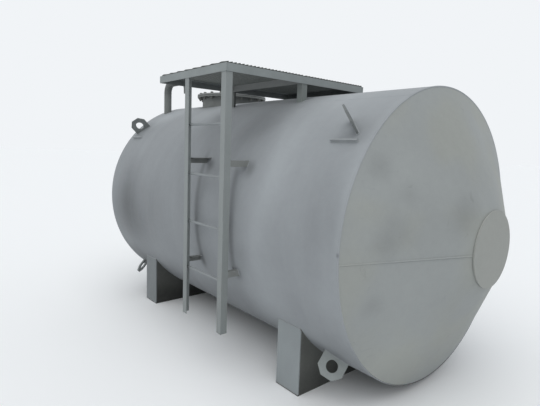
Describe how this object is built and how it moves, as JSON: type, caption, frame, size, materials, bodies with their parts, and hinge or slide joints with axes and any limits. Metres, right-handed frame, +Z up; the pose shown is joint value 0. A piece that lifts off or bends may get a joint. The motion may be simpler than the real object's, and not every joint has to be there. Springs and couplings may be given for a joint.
{
  "type": "horizontal storage tank",
  "caption": "Horizontal steel storage tank with shallow cone ends on box saddles, with lifting lugs, top hatch, vent pipe, ladder and small mesh platform.",
  "frame": {"origin": "on the ground, at the middle of the footprint's bounding rectangle", "axes": "+X along the tank to its right end, +Y from the ladder side to the back, +Z up"},
  "size_m": [3.76, 1.9959, 2.223],
  "materials": {
    "shell_paint": "matte grey paint, sprayed",
    "end_paint": "matte grey paint, sprayed",
    "steel_paint": "matte grey paint, brushed and sprayed",
    "deck_paint": "matte grey paint on expanded metal",
    "pipe_paint": "matte dark grey paint"
  },
  "bodies": {
    "root": {"shell": "shell_paint", "right_cone": "end_paint", "left_cone": "end_paint", "right_cap": "end_paint", "left_cap": "end_paint", "right_saddle_base": "steel_paint", "right_saddle_front_plate": "steel_paint", "right_saddle_back_plate": "steel_paint", "right_saddle_webs": "steel_paint", "left_saddle_base": "steel_paint", "left_saddle_front_plate": "steel_paint", "left_saddle_back_plate": "steel_paint", "left_saddle_webs": "steel_paint", "ladder_left_stringer": "steel_paint", "ladder_right_stringer": "steel_paint", "rung_1": "steel_paint", "rung_2": "steel_paint", "rung_3": "steel_paint", "rung_4": "steel_paint", "upper_brackets": "steel_paint", "lower_brackets": "steel_paint", "front_rail": "steel_paint", "right_rail": "steel_paint", "back_rail": "steel_paint", "left_rail": "steel_paint", "cross_rail": "steel_paint", "front_deck": "deck_paint", "back_deck": "deck_paint", "left_post": "steel_paint", "right_post": "steel_paint", "left_back_post": "steel_paint", "right_back_post": "steel_paint", "hatch_neck": "steel_paint", "hatch_flange": "steel_paint", "hatch_cover": "steel_paint", "vent_pipe": "pipe_paint", "vent_run": "pipe_paint", "vent_outlet": "pipe_paint", "lug_right_front_top": "steel_paint", "lug_left_front_top": "steel_paint", "lug_right_back_top": "steel_paint", "lug_left_back_top": "steel_paint", "lug_right_front_low": "steel_paint", "lug_left_front_low": "steel_paint", "lug_right_back_low": "steel_paint", "lug_left_back_low": "steel_paint", "side_bars": "steel_paint"}
  },
  "joints": []
}
